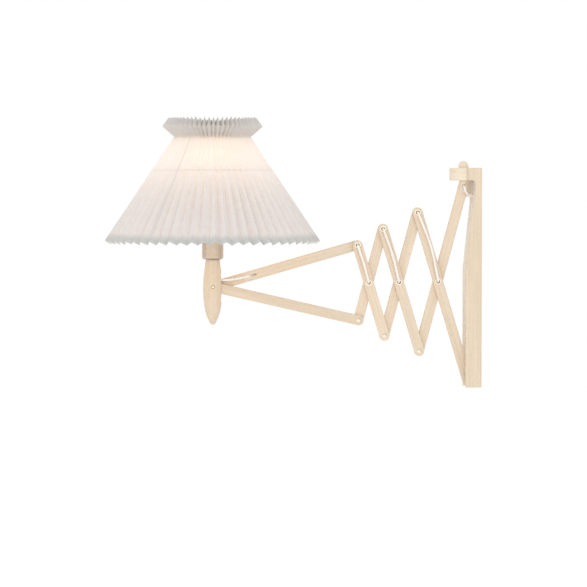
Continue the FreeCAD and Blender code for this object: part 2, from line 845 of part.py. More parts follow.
def lock_ring():
    """Ring screwed on the lampholder's mouth; it clamps the shade carrier on the cup."""
    low = cup_top_z + carrier_hub_t + 0.2
    bore_r = holder_r + running
    return turned_on_head([
        (bore_r, low), (lock_ring_r - 1, low), (lock_ring_r, low + 1), (lock_ring_r, low + lock_ring_height - 1),
        (lock_ring_r - 1, low + lock_ring_height), (bore_r, low + lock_ring_height),
    ])


def bulb_cap():
    """Screw cap of the bulb, with its insulated tip."""
    tip_z = bulb_seat_z - cap_tip_height
    top = bulb_seat_z + thread_turns * thread_pitch + 3
    outline = [(0, tip_z), (cap_tip_r, tip_z), (2 * cap_tip_r, bulb_seat_z)]
    for turn in range(thread_turns):
        z = bulb_seat_z + turn * thread_pitch
        outline.append((cap_valley_r, z))
        outline.append((cap_crest_r, z + 0.3 * thread_pitch))
        outline.append((cap_valley_r, z + 0.6 * thread_pitch))
    outline.append((cap_valley_r, top))
    outline.append((cap_bore_r, top))
    outline.append((cap_bore_r, bulb_seat_z + 2))
    outline.append((0, bulb_seat_z + 2))
    return turned_on_head(outline)


def bulb_glass():
    """Pear-shaped glass: a sphere drawn down into the neck that the cap holds."""
    x = head_axis.x
    y = head_axis.y
    neck_z = bulb_seat_z + 14
    shoulder_z = bulb_seat_z + 26
    blend = math.radians(-50)

    def at(radius, z):
        return V(x + radius, y, z)

    def skin(radius, neck_r, start_z):
        join = at(radius * math.cos(blend), bulb_centre_z + radius * math.sin(blend))
        return [
            Part.makeLine(at(neck_r, start_z), at(neck_r, shoulder_z)),
            Part.Arc(
                at(neck_r, shoulder_z),
                at((neck_r + radius * math.cos(blend)) / 2 - 0.9, (shoulder_z + join.z) / 2 + 0.9),
                join,
            ).toShape(),
            Part.Arc(join, at(radius * math.cos(0.35), bulb_centre_z + radius * math.sin(0.35)),
                     at(0, bulb_centre_z + radius)).toShape(),
        ]

    outer = skin(bulb_r, bulb_neck_r, neck_z)
    inner = skin(bulb_r - bulb_wall, bulb_neck_r - bulb_wall, neck_z)
    foot = Part.makeLine(at(bulb_neck_r - bulb_wall, neck_z), at(bulb_neck_r, neck_z))
    crown = Part.makeLine(at(0, bulb_centre_z + bulb_r), at(0, bulb_centre_z + bulb_r - bulb_wall))
    wire = Part.Wire(Part.__sortEdges__(outer + inner + [foot, crown]))
    return Part.Face(wire).revolve(head_axis, Z_AXIS, 360)


# ---------------------------------------------------------------- shade

def pleat_depth(ridge_radius):
    """How far a fold goes in, for panels whose width is the same all the way up."""
    half_pitch = math.pi * ridge_radius / pleats
    return math.sqrt(panel_width ** 2 - half_pitch ** 2)


def pleat_levels(inward):
    """The folds' levels from base to rim, as (ridge radius, ridge z, valley radius, valley z).

    inward is 0 for the outer skin and 1 for the inner one, which lies the paper's thickness inside.
    """
    levels = []
    shape = (
        (base_ridge_r, base_z, base_tooth), (neck_ridge_r, neck_z, 0),
        (flare_ridge_r, flare_z, flare_dip), (rim_ridge_r, rim_z, rim_tooth),
    )
    for ridge_radius, ridge_z, dip in shape:
        depth = pleat_depth(ridge_radius)
        half_pitch = math.pi * ridge_radius / pleats
        inset = inward * paper / math.sin(math.atan2(half_pitch, depth))
        levels.append((ridge_radius - inset, ridge_z, ridge_radius - depth - inset, ridge_z - dip))
    return levels


def pleat_ring(level):
    """Points round the shade at one level, ridges and valleys by turns."""
    ridge_radius, ridge_z, valley_radius, valley_z = level
    points = []
    for k in range(2 * pleats):
        radius, z = (ridge_radius, ridge_z) if k % 2 == 0 else (valley_radius, valley_z)
        angle = math.pi * k / pleats
        points.append(V(head_axis.x + radius * math.cos(angle), head_axis.y + radius * math.sin(angle), z))
    return points


def band(lower, upper):
    """Flat triangles between two rings of points."""
    faces = []
    count = len(lower)
    for k in range(count):
        after = (k + 1) % count
        for corners in ((lower[k], lower[after], upper[after]), (lower[k], upper[after], upper[k])):
            faces.append(Part.Face(Part.makePolygon([*corners, corners[0]])))
    return faces


def shade():
    """Pleated shade in one folded sheet: long cone, pinched neck, flared collar and toothed edges."""
    outer = [pleat_ring(level) for level in pleat_levels(0)]
    inner = [pleat_ring(level) for level in pleat_levels(1)]
    faces = band(outer[0], inner[0]) + band(outer[-1], inner[-1])
    for skin in (outer, inner):
        for lower, upper in zip(skin, skin[1:]):
            faces += band(lower, upper)
    shell = Part.Shell(faces)
    shell.sewShape()
    solid = Part.Solid(shell)
    if solid.Volume < 0:
        solid.reverse()
    return solid


def inner_valley_radius(z):
    """Clear radius inside the cone's folds at a height."""
    base, neck = pleat_levels(1)[:2]
    share = (z - base[3]) / (neck[3] - base[3])
    return base[2] + share * (neck[2] - base[2])


def shade_carrier():
    """Wire ring that the cone's folds rest on, with three legs from the flat hub on the lampholder."""
    ring_r = inner_valley_radius(carrier_ring_z) - carrier_wire_r - 0.3
    ring = Part.makeTorus(ring_r, carrier_wire_r, V(head_axis.x, head_axis.y, carrier_ring_z))
    hub_low = cup_top_z + 0.1
    hub = turned_on_head([
        (holder_r + 0.1, hub_low), (carrier_hub_r, hub_low), (carrier_hub_r, hub_low + carrier_hub_t),
        (holder_r + 0.1, hub_low + carrier_hub_t),
    ])
    legs = []
    for k in range(carrier_legs):
        angle = math.radians(90 + 360 * k / carrier_legs)
        outwards = V(math.cos(angle), math.sin(angle), 0)
        foot = head_axis + outwards * (carrier_hub_r - 1) + V(0, 0, hub_low + carrier_hub_t / 2)
        legs.append(cylinder(foot, head_axis + outwards * ring_r + V(0, 0, carrier_ring_z), carrier_wire_r))
    return hub.fuse(legs + [ring])


def main():
    os.makedirs("parts", exist_ok=True)
    pieces = {
        "wall_bar": wall_bar(),
        "top_bracket": top_bracket(),
        "bracket_screws": bracket_screw_shapes(0),
        "cable_bush": cable_bush(),
        "cord_wall_loop": cord_wall_loop(),
        "swivel_dowel": swivel_dowel(),
        "top_hinge_tube": top_hinge_tube(),
        "upper_arm": upper_arm(),
        "lower_arm": lower_arm(),
        "cord_upper_arm": cord_upper_arm(),
        "cord_head_lead": cord_head_lead(),
        "head_pin_screw": head_pin_screw(),
        "head_pin_nut": head_pin_nut(),
        "handle": handle(),
        "threaded_tube": threaded_tube(),
        "tube_nut": tube_nut(),
        "lampholder_cup": lampholder_cup(),
        "lampholder_body": lampholder_body(),
        "lampholder_thread": lampholder_thread(),
        "lampholder_contact": lampholder_contact(),
        "lock_ring": lock_ring(),
        "bulb_cap": bulb_cap(),
        "bulb_glass": bulb_glass(),
        "shade_carrier": shade_carrier(),
        "shade": shade(),
    }
    pieces.update(slats())
    pieces.update(linkage_cords())
    for section in ("wall", "middle", "outer"):
        pieces["eyelet_" + section + "_cross"] = eyelet(pivots[section + "_cross"])
        pieces["eyelet_" + section + "_upper"] = eyelet(pivots[section + "_upper"])
        lower = pivots[section + "_lower"]
        pieces["joint_screw_" + section] = domed_screw(
            lower, screw_head_r, screw_shank_r, near_face - face_gap, far_face + face_gap, 1.5
        )
        pieces["joint_nut_" + section] = domed_nut(lower, screw_head_r, far_face + face_gap)
    for name, shape in pieces.items():
        if not shape.isValid() or shape.Volume <= 0:
            print("check", name, shape.isValid(), round(shape.Volume, 1))
        export(name, shape)
    print("pieces", len(pieces), "head pin", head)


main()
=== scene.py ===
import json
import math
import bpy
import numpy as np
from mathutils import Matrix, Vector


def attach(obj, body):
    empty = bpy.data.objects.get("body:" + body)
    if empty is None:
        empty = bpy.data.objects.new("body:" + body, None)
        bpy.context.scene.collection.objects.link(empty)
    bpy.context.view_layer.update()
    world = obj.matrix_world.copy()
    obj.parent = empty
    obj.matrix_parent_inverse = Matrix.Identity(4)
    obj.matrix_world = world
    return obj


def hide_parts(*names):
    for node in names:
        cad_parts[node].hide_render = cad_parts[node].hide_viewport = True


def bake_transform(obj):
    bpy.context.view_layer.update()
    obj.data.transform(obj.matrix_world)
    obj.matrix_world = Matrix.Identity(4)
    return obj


# Scissor wall lamp with a pleated shade. Metres; +X into the wall, +Z up, the near slats towards -Y.

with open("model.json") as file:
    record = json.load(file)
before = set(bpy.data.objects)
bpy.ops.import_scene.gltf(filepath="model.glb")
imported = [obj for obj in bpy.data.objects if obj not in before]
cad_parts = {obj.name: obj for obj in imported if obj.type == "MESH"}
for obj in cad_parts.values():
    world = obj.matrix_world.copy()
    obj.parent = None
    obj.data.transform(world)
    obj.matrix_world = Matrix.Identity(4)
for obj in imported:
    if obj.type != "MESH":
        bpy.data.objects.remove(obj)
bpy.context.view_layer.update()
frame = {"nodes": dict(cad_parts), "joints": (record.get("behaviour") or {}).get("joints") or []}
nodes = frame["nodes"]
pivots = {joint["name"]: np.array(joint["pos_m"]) for joint in frame["joints"]}
pivots["top"] = pivots["extend"]
pivots["head"] = pivots["head_tilt"]

# Y of the faces of the two layers of slats, and of the plane between the layers
FAR_FACE = 0.004
FAR_INNER = -0.004
NEAR_FACE = -0.0122
LAYER_MIDDLE = -0.0041

# the cord's middle line runs CORD_LIFT off a face; where it bends into a hollow pivot, its control point
# stands a little past the pivot and a little further off the face
CORD_RADIUS = 0.0025
CORD_LIFT = 0.0037
BEND_OVERSHOOT = 0.0008
BEND_RISE = 0.0008

HEAD_X = pivots["head"][0]
HEAD_Y = LAYER_MIDDLE
CUP_FOOT_Z = 0.0375

# the wall bar's trough, and how far from the wall the paler wood painted into it, as light against its shade,
# stops
TROUGH_HALF_WIDTH = 0.0216
TROUGH_BACK_X = -0.003


# ---------------------------------------------------------------- meshes

def piece(name, points, faces, smooth=True):
    """A mesh object of an (n, 3) array of points and a list of arrays of faces, placed at the origin."""
    mesh = bpy.data.meshes.new(name)
    mesh.from_pydata(points.tolist(), [], [face for block in faces for face in block.tolist()])
    mesh.polygons.foreach_set("use_smooth", np.full(len(mesh.polygons), smooth))
    mesh.update()
    made = bpy.data.objects.new(name, mesh)
    bpy.context.scene.collection.objects.link(made)
    return made


def ring_faces(rows, columns):
    """Quads between rings of points, one ring to a row; each ring's last point joins its first."""
    row, column = np.meshgrid(np.arange(rows - 1), np.arange(columns), indexing="ij")
    after = (column + 1) % columns
    low = row * columns
    high = low + columns
    return np.stack([low + column, low + after, high + after, high + column], -1).reshape(-1, 4)


def spline_line(name, points):
    """Points along a smooth NURBS spline of order 3 whose control points are the route's points."""
    curve = bpy.data.curves.new(name, "CURVE")
    curve.dimensions = "3D"
    spline = curve.splines.new("NURBS")
    spline.points.add(len(points) - 1)
    spline.points.foreach_set("co", np.column_stack([points, np.ones(len(points))]).ravel())
    spline.order_u = 3
    spline.use_endpoint_u = True
    spline.resolution_u = 12
    holder = bpy.data.objects.new(name, curve)
    bpy.context.scene.collection.objects.link(holder)
    line = bpy.data.meshes.new_from_object(holder)
    along = np.zeros(len(line.vertices) * 3)
    line.vertices.foreach_get("co", along)
    bpy.data.objects.remove(holder)
    bpy.data.curves.remove(curve)
    bpy.data.meshes.remove(line)
    return along.reshape(-1, 3)


def round_tube(name, line, across, sides=20):
    """Cord tube: each point of the line plus CORD_RADIUS times the unit circle across the line's tangent.

    across is a direction that the line never takes; it fixes where each circle starts. Both ends are closed
    by a flat face.
    """
    tangent = np.gradient(line, axis=0)
    tangent /= np.linalg.norm(tangent, axis=1)[:, None]
    first = across - (tangent @ across)[:, None] * tangent
    first /= np.linalg.norm(first, axis=1)[:, None]
    second = np.cross(tangent, first)
    turn = np.linspace(0, 2 * math.pi, sides, endpoint=False)
    ring = first[:, None] * np.cos(turn)[None, :, None] + second[:, None] * np.sin(turn)[None, :, None]
    points = (line[:, None] + CORD_RADIUS * ring).reshape(-1, 3)
    ends = [np.arange(sides)[::-1][None], np.arange(sides)[None] + (len(line) - 1) * sides]
    tube = piece(name, points, [ring_faces(len(line), sides), *ends])
    for face in tube.data.polygons[-2:]:
        face.use_smooth = False
    return tube


# ---------------------------------------------------------------- material nodes

# sockets of a Mix node that mixes colours
MIX_SHARE = 0
MIX_UNDER = 6
MIX_OVER = 7
MIX_RESULT = 2


def add(tree, kind, inputs=None, **settings):
    """A shader node with its settings, and its inputs set or linked."""
    made = tree.nodes.new("ShaderNode" + kind)
    for key, value in settings.items():
        setattr(made, key, value)
    for key, value in (inputs or {}).items():
        if isinstance(value, bpy.types.NodeSocket):
            tree.links.new(value, made.inputs[key])
        else:
            made.inputs[key].default_value = value
    return made


def finish(name, base, roughness, **sockets):
    """A material whose even values are on the shader's own sockets."""
    material = bpy.data.materials.new(name)
    material.use_nodes = True
    shader = material.node_tree.nodes["Principled BSDF"]
    shader.inputs["Base Color"].default_value = (*base, 1)
    shader.inputs["Roughness"].default_value = roughness
    for key, value in sockets.items():
        shader.inputs[key.replace("_", " ").title().replace("Ior", "IOR")].default_value = value
    return material, material.node_tree, shader


def surface(tree, shader, colour, roughness, height, strength, distance):
    """Link a finish's colour, its roughness and the bump of its height to the shader."""
    tree.links.new(colour, shader.inputs["Base Color"])
    tree.links.new(roughness, shader.inputs["Roughness"])
    bump = add(tree, "Bump", {"Height": height, "Strength": strength, "Distance": distance})
    tree.links.new(bump.outputs["Normal"], shader.inputs["Normal"])


def placed(tree, turn=(0, 0, 0), shift=(0, 0, 0), stretch=(1, 1, 1)):
    """Object coordinates, turned, shifted and stretched."""
    where = add(tree, "TexCoord")
    turned = add(tree, "Mapping", {"Vector": where.outputs["Object"], "Rotation": turn, "Location": shift})
    return add(tree, "Mapping", {"Vector": turned.outputs["Vector"], "Scale": stretch}).outputs["Vector"]


def drawn_out(tree, fibres, share):
    """Coordinates in which a pattern is drawn out along the fibres, by one over the share."""
    return add(tree, "Mapping", {"Vector": fibres, "Scale": (1, 1, share)}).outputs["Vector"]


def noise(tree, spot, scale, detail, roughness=0.5):
    """Cloudy noise; the higher the scale, the smaller the clouds."""
    inputs = {"Vector": spot, "Scale": scale, "Detail": detail, "Roughness": roughness}
    return add(tree, "TexNoise", inputs).outputs["Fac"]


def maths(tree, operation, first, second=0.0):
    """The result of a Math node for one or two numbers."""
    return add(tree, "Math", {0: first, 1: second}, operation=operation).outputs[0]


def mixed(tree, share, under, over, how="MIX"):
    """A colour laid over another by a share, or multiplied with it."""
    inputs = {MIX_SHARE: share, MIX_UNDER: under, MIX_OVER: over}
    return add(tree, "Mix", inputs, data_type="RGBA", blend_type=how).outputs[MIX_RESULT]


def two_tone(tree, amount, low, high, low_at=0.0, high_at=1.0):
    """A colour between low and high as amount goes from low_at to high_at."""
    ramp = add(tree, "ValToRGB", {"Fac": amount})
    ramp.color_ramp.elements[0].position = low_at
    ramp.color_ramp.elements[1].position = high_at
    ramp.color_ramp.elements[0].color = (*low, 1)
    ramp.color_ramp.elements[1].color = (*high, 1)
    return ramp.outputs["Color"]


def between(tree, amount, low, high, low_at=0.0, high_at=1.0):
    """A number between low and high as amount goes from low_at to high_at."""
    inputs = {"Value": amount, "From Min": low_at, "From Max": high_at, "To Min": low, "To Max": high}
    return add(tree, "MapRange", inputs).outputs["Result"]


def height_of(tree):
    """Height of a spot above the lamp's origin."""
    return add(tree, "SeparateXYZ", {"Vector": placed(tree)}).outputs["Z"]


def shaded(base, share):
    """A colour times a share."""
    return tuple(part * share for part in base)


# ---------------------------------------------------------------- materials

WOOD = (0.803, 0.671, 0.514)
PALE_WOOD = (0.88, 0.775, 0.62)
# paler wood painted into the wall bar's trough as light against its shade, and how much of it is laid on
TROUGH_PAINTED_LIGHT = (0.93, 0.88, 0.81, 1)
TROUGH_PAINTED_LIGHT_SHARE = 0.75
LATHE_LINES = 2600.0
PAPER = (0.76, 0.708, 0.678)
# darker paper: the seam's double paper, and painted shade at the seam, the hem and the collar
DOUBLED_AND_SHADED_PAPER = (0.55, 0.55, 0.53, 1)
PAPER_LIGHT = (1.0, 0.86, 0.68, 1)
BULB_LIGHT = (1.0, 0.86, 0.66, 1)
BULB_NECK_Z = 0.085
BULB_CROWN_Z = 0.135


def pale_wood(name, grain, shift, tone=1.0, wood=WOOD, painted_light_half_width=0.0):
    """Oiled pale beech: faint growth rings, long streaks along the fibres, and short dark flecks.

    grain is the angle from +Z, in the XZ plane towards +X, that the fibres take. Within the given half width
    of the middle plane, as in the trough, the wood is painted paler: painted light that lifts the trough's
    shade.
    """
    material, tree, shader = finish(name, wood, 0.5)
    fibres = placed(tree, (0, -grain, 0), shift)
    slow = drawn_out(tree, fibres, 0.035)
    rings = add(tree, "TexWave", {
        "Vector": slow, "Scale": 42.0, "Distortion": 5.0,
        "Detail": 3.0, "Detail Scale": 9.0, "Detail Roughness": 0.6,
    }, wave_type="RINGS", rings_direction="Z", wave_profile="SAW").outputs["Fac"]
    streaks = noise(tree, drawn_out(tree, fibres, 0.018), 900.0, 5.0, 0.65)
    clouds = noise(tree, slow, 55.0, 3.0)
    flecks = noise(tree, drawn_out(tree, fibres, 0.11), 2100.0, 1.0)
    base = shaded(wood, tone)
    colour = two_tone(tree, rings, shaded(base, 0.93), base, 0.0, 0.85)
    streak_colour = two_tone(tree, streaks, (0.93, 0.905, 0.88), (1.03, 1.03, 1.03), 0.3, 0.68)
    cloud_colour = two_tone(tree, clouds, (0.95, 0.94, 0.92), (1.04, 1.04, 1.05), 0.3, 0.7)
    fleck_colour = two_tone(tree, flecks, (0.80, 0.72, 0.64), (1, 1, 1), 0.29, 0.36)
    for layer in (streak_colour, cloud_colour, fleck_colour):
        colour = mixed(tree, 1.0, colour, layer, "MULTIPLY")
    # painted light: inside the trough the wood is painted paler, to lift its shade
    if painted_light_half_width:
        where = add(tree, "SeparateXYZ", {"Vector": placed(tree)}).outputs
        beside = maths(tree, "ABSOLUTE", where["Y"])
        inside = maths(tree, "LESS_THAN", beside, painted_light_half_width)
        ahead = maths(tree, "LESS_THAN", where["X"], TROUGH_BACK_X)
        painted_light_mask = maths(tree, "MULTIPLY", inside, ahead)
        colour = mixed(tree, maths(tree, "MULTIPLY", painted_light_mask, TROUGH_PAINTED_LIGHT_SHARE), colour, TROUGH_PAINTED_LIGHT)
    relief = maths(tree, "ADD", streaks, flecks)
    surface(tree, shader, colour, between(tree, streaks, 0.42, 0.60), relief, 0.25, 0.0002)
    return material


def smooth_sheath(name, base):
    """Cream cord sheath: satin, faintly uneven, a little darker where hands and wood have rubbed it."""
    material, tree, shader = finish(name, base, 0.42, coat_weight=0.15, coat_roughness=0.3)
    spot = placed(tree)
    uneven = noise(tree, spot, 240.0, 4.0)
    rubbed = noise(tree, spot, 35.0, 2.0)
    colour = two_tone(tree, rubbed, shaded(base, 0.94), shaded(base, 1.02), 0.3, 0.7)
    surface(tree, shader, colour, between(tree, uneven, 0.34, 0.52), uneven, 0.2, 0.0003)
    return material


def turned_metal(name, base, roughness, foot):
    """Varnished metal finished on a lathe about an upright axis: fine lines round it, a faint tarnish, and a
    painted shade line round its foot."""
    material, tree, shader = finish(
        name, base, roughness, metallic=1.0, coat_weight=1.0, coat_roughness=0.15, coat_ior=1.9
    )
    level = height_of(tree)
    passes = {"W": maths(tree, "MULTIPLY", level, LATHE_LINES), "Scale": 1.0, "Detail": 3.0}
    lathe = add(tree, "TexNoise", passes, noise_dimensions="1D").outputs["Fac"]
    tarnish = noise(tree, placed(tree), 120.0, 4.0)
    colour = two_tone(tree, tarnish, shaded(base, 0.92), shaded(base, 1.04), 0.3, 0.72)
    # painted shade: darker over the lowest few millimetres above the foot
    above_foot_shade = between(tree, level, 0.0, 1.0, foot + 0.0008, foot + 0.004)
    foot_shade_colour = two_tone(tree, above_foot_shade, (0.62, 0.6, 0.6), (1, 1, 1))
    colour = mixed(tree, 1.0, colour, foot_shade_colour, "MULTIPLY")
    uneven = maths(tree, "ADD", lathe, tarnish)
    gloss = between(tree, uneven, roughness - 0.07, roughness + 0.09, 0.0, 2.0)
    surface(tree, shader, colour, gloss, lathe, 0.12, 0.0002)
    return material


def small_metal(name, base, roughness):
    """Small screws and rivets: even metal with worn, duller patches and fine scratches."""
    material, tree, shader = finish(name, base, roughness, metallic=1.0)
    worn = noise(tree, placed(tree), 420.0, 5.0)
    scratches = noise(tree, placed(tree, (0.4, 0.9, 0.2), stretch=(1, 1, 0.05)), 5200.0, 2.0)
    colour = two_tone(tree, worn, shaded(base, 0.88), shaded(base, 1.04), 0.3, 0.7)
    gloss = between(tree, worn, roughness + 0.1, roughness - 0.06)
    surface(tree, shader, colour, gloss, scratches, 0.12, 0.0001)
    return material


def moulded(name, base, roughness, **sockets):
    """Moulded, glazed or enamelled white part: faint mottling in colour, gloss and height."""
    material, tree, shader = finish(name, base, roughness, **sockets)
    mottle = noise(tree, placed(tree), 300.0, 4.0)
    colour = two_tone(tree, mottle, shaded(base, 0.95), shaded(base, 1.01), 0.3, 0.7)
    gloss = between(tree, mottle, roughness - 0.05, roughness + 0.08)
    surface(tree, shader, colour, gloss, mottle, 0.1, 0.0002)
    return material


def lit_glass(name):
    """Frosted glass of the lit bulb: brightest round the crown and dimmer at the neck."""
    material, tree, shader = finish(name, (0.74, 0.72, 0.68), 0.45, emission_color=BULB_LIGHT)
    shine = between(tree, height_of(tree), 0.2, 0.6, BULB_NECK_Z, BULB_CROWN_Z)
    frost = noise(tree, placed(tree), 900.0, 2.0)
    tree.links.new(shine, shader.inputs["Emission Strength"])
    tree.links.new(between(tree, frost, 0.4, 0.55), shader.inputs["Roughness"])
    return material


def pleated_paper(name):
    """Shade paper: fine fibres, the lamp's glow from the attribute glow, and darker, duller paper by a second
    attribute: high at the seam, where the paper lies double and its darker colour is painted shade, and at
    the hem, and lower in the collar, where it is painted shade."""
    material, tree, shader = finish(name, PAPER, 0.62, emission_color=PAPER_LIGHT)
    fibres = noise(tree, placed(tree, (0.3, 0.2, 0.5), stretch=(1, 0.25, 1)), 1500.0, 4.0)
    clouds = noise(tree, placed(tree), 60.0, 3.0)
    doubled_and_shaded = add(tree, "Attribute", attribute_name="doubled_and_shaded").outputs["Fac"]
    glow = add(tree, "Attribute", attribute_name="glow").outputs["Fac"]
    colour = two_tone(tree, clouds, shaded(PAPER, 0.975), shaded(PAPER, 1.015), 0.3, 0.7)
    fibre_colour = two_tone(tree, fibres, (0.965, 0.96, 0.95), (1.02, 1.02, 1.02), 0.3, 0.7)
    colour = mixed(tree, 1.0, colour, fibre_colour, "MULTIPLY")
    # painted shade, and the seam's double paper: the darker paper by the second attribute
    colour = mixed(tree, doubled_and_shaded, colour, DOUBLED_AND_SHADED_PAPER)
    tree.links.new(glow, shader.inputs["Emission Strength"])
    surface(tree, shader, colour, between(tree, fibres, 0.55, 0.7), fibres, 0.15, 0.0002)
    return material


def wear(names, material):
    """Give CAD nodes their finish."""
    for name in names:
        nodes[name].data.materials.clear()
        nodes[name].data.materials.append(material)


def grain_angle(start, end):
    """Angle from +Z towards +X of the line between two pivots."""
    along = pivots[end] - pivots[start]
    return math.atan2(along[0], along[2])


# the grain of each slat and arm runs from pivot to pivot; no two have the same tone or come from the same
# place in the board
grain_lines = {
    "wall_slat_far": ("top", "wall_cross"), "wall_slat_near": ("wall_cross", "wall_upper"),
    "middle_slat_far": ("wall_upper", "middle_cross"), "middle_slat_near": ("middle_cross", "middle_upper"),
    "outer_slat_far": ("middle_upper", "outer_cross"), "outer_slat_near": ("outer_cross", "outer_upper"),
    "upper_arm": ("outer_upper", "head"), "lower_arm": ("outer_lower", "head"),
}
tones = (1.0, 0.985, 1.01, 0.97, 0.99, 1.005, 0.98, 0.94)
for count, (name, (start, end)) in enumerate(grain_lines.items()):
    shift = (0.031 + 0.013 * count, 0.024 + 0.007 * count, 0.2 * count)
    wear([name], pale_wood("wood_" + name, grain_angle(start, end), shift, tones[count]))
wear(["wall_bar"], pale_wood("wood_wall_bar", 0, (0.09, 0.05, 1.3), 0.985, WOOD, TROUGH_HALF_WIDTH))
wear(["top_bracket"], pale_wood("wood_top_bracket", math.pi / 2, (0.3, 0.04, 0.07), 1.0, PALE_WOOD))
wear(["swivel_dowel"], pale_wood("wood_swivel_dowel", 0, (0.06, 0.02, 0.5), 1.0, PALE_WOOD))
wear(["handle"], pale_wood("wood_handle", 0, (0.575, 0.03, 0.8), 0.98))

rivet_metal = small_metal("pale_rivet_metal", (0.81, 0.71, 0.59), 0.45)
screw_metal = small_metal("pale_screw_metal", (0.74, 0.65, 0.54), 0.4)
pin_metal = small_metal("pale_pin_metal", (0.92, 0.85, 0.73), 0.5)
brass = small_metal("plain_brass", (0.80, 0.62, 0.34), 0.3)
ceramic = moulded("holder_ceramic", (0.90, 0.89, 0.86), 0.2, coat_weight=0.4, coat_roughness=0.1)
wear([name for name in nodes if name.startswith("eyelet")] + ["top_hinge_tube"], rivet_metal)
wear([name for name in nodes if name.startswith("joint_")], screw_metal)
wear(["head_pin_screw", "head_pin_nut"], pin_metal)
wear(["bracket_screws"], screw_metal)
wear(["threaded_tube", "tube_nut", "lampholder_thread", "lampholder_contact"], brass)
wear(["cable_bush"], moulded("bush_plastic", (0.88, 0.83, 0.75), 0.45))
wear(["lampholder_cup"], turned_metal("cup_metal", (0.49, 0.375, 0.265), 0.5, CUP_FOOT_Z))
wear(["lampholder_body"], ceramic)
wear(["lock_ring"], moulded("ring_plastic", (0.88, 0.86, 0.82), 0.4))
wear(["shade_carrier"], moulded("carrier_enamel", (0.90, 0.89, 0.87), 0.35))
wear(["bulb_cap"], small_metal("bulb_cap_metal", (0.82, 0.82, 0.82), 0.28))
wear(["bulb_glass"], lit_glass("bulb_glass"))
sheath = smooth_sheath("cord_sheath", (0.93, 0.86, 0.785))


# ---------------------------------------------------------------- cord

def at_y(point, y):
    """A pivot's place in the linkage plane, at a Y."""
    return np.array([point[0], y, point[2]])


def towards(start, end, distance):
    """The point at a distance from start on the way to end."""
    return start + (end - start) * distance / np.linalg.norm(end - start)


def slat_stretch(start, end, far, bow, start_y, start_run):
    """Route of a stretch along a slat: out of one hollow pivot, along the face with a small bow, and into the
    next one.

    It starts at start_y in the first pivot and leaves it at start_run, or at the face's own run where that
    is None. The direction returned with it lies across the slat.
    """
    end_run = FAR_FACE + CORD_LIFT if far else NEAR_FACE - CORD_LIFT
    run = end_run if start_run is None else start_run
    across = np.cross(end - start, (0, 1, 0))
    across *= math.copysign(1, across[0]) / np.linalg.norm(across)
    rise = BEND_RISE if far else -BEND_RISE
    first = at_y(start, start_y)
    along = (end - start) / np.linalg.norm(end - start)
    leave = at_y(start, run + rise) - along * BEND_OVERSHOOT
    middle = at_y((start + end) / 2 + across * bow, (run + end_run) / 2)
    arrive = at_y(end, end_run + rise) + along * BEND_OVERSHOOT
    last = at_y(end, LAYER_MIDDLE)
    after = towards(at_y(start, run), middle, abs(run - start_y))
    before = towards(at_y(end, end_run), middle, abs(end_run - LAYER_MIDDLE))
    return np.array([first, leave, after, middle, before, arrive, last]), across


def dress_cord(made, node, body=None):
    """Give a stretch of cord its sheath and let it stand for its CAD node."""
    made.data.materials.append(sheath)
    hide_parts(node)
    if body:
        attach(made, body)


# body, first and last pivot, bow, start_y and start_run of each stretch
slat_cords = (
    ("wall_slat_far", "top", "wall_cross", 0.0025, 0.0, 0.011),
    ("wall_slat_near", "wall_cross", "wall_upper", 0.007, LAYER_MIDDLE, None),
    ("middle_slat_far", "wall_upper", "middle_cross", 0.0025, LAYER_MIDDLE, None),
    ("middle_slat_near", "middle_cross", "middle_upper", 0.0036, LAYER_MIDDLE, None),
    ("outer_slat_far", "middle_upper", "outer_cross", 0.0025, LAYER_MIDDLE, None),
    ("outer_slat_near", "outer_cross", "outer_upper", 0.0014, LAYER_MIDDLE, None),
)
for body, start, end, bow, start_y, start_run in slat_cords:
    route, across = slat_stretch(pivots[start], pivots[end], body.endswith("far"), bow, start_y, start_run)
    name = "cord_on_" + body
    dress_cord(round_tube(name, spline_line(name, route), across), "cord_" + body, body)

arm_start = at_y(pivots["outer_upper"], 0)
arm_unit = at_y(pivots["head"], 0) - arm_start
arm_unit /= np.linalg.norm(arm_unit)
arm_up = np.array([arm_unit[2], 0, -arm_unit[0]])
arm_up *= math.copysign(1, arm_up[2])


def arm_point(along, y, above):
    """A point beside the upper arm: along it from its top pivot, at a Y, above its middle line."""
    return arm_start + arm_unit * along + arm_up * above + np.array([0, y, 0])


# along the arm's far face, through its slot, and on along its near side
far_run = FAR_FACE + CORD_LIFT
near_run = FAR_INNER - CORD_LIFT
arm_route = np.array([
    at_y(arm_start, LAYER_MIDDLE), arm_point(-BEND_OVERSHOOT, far_run + BEND_RISE, 0),
    arm_point(0.0116, far_run, 0), arm_point(0.105, far_run, 0.002), arm_point(0.187, far_run, 0),
    arm_point(0.212, far_run + 0.0012, 0), arm_point(0.2335, near_run - 0.0012, 0),
    arm_point(0.256, near_run, 0.0028),
])
arm_cord = round_tube("cord_on_upper_arm", spline_line("arm_route", arm_route), arm_up)
dress_cord(arm_cord, "cord_upper_arm", "upper_arm")

# from the inlet in the wall bar into the first slat's hollow hinge
loop_route = np.array([
    [-0.0006, 0, 0.163], [-0.022, -0.001, 0.163], [-0.0315, -0.013, 0.171], [-0.0342, -0.017, 0.1845],
    [-0.0342, 0, 0.1845],
])
loop_across = np.array([0.55, 0.35, -1.4])
wall_loop = round_tube("cord_loop_at_wall", spline_line("loop_route", loop_route), loop_across)
dress_cord(wall_loop, "cord_wall_loop")
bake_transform(wall_loop)

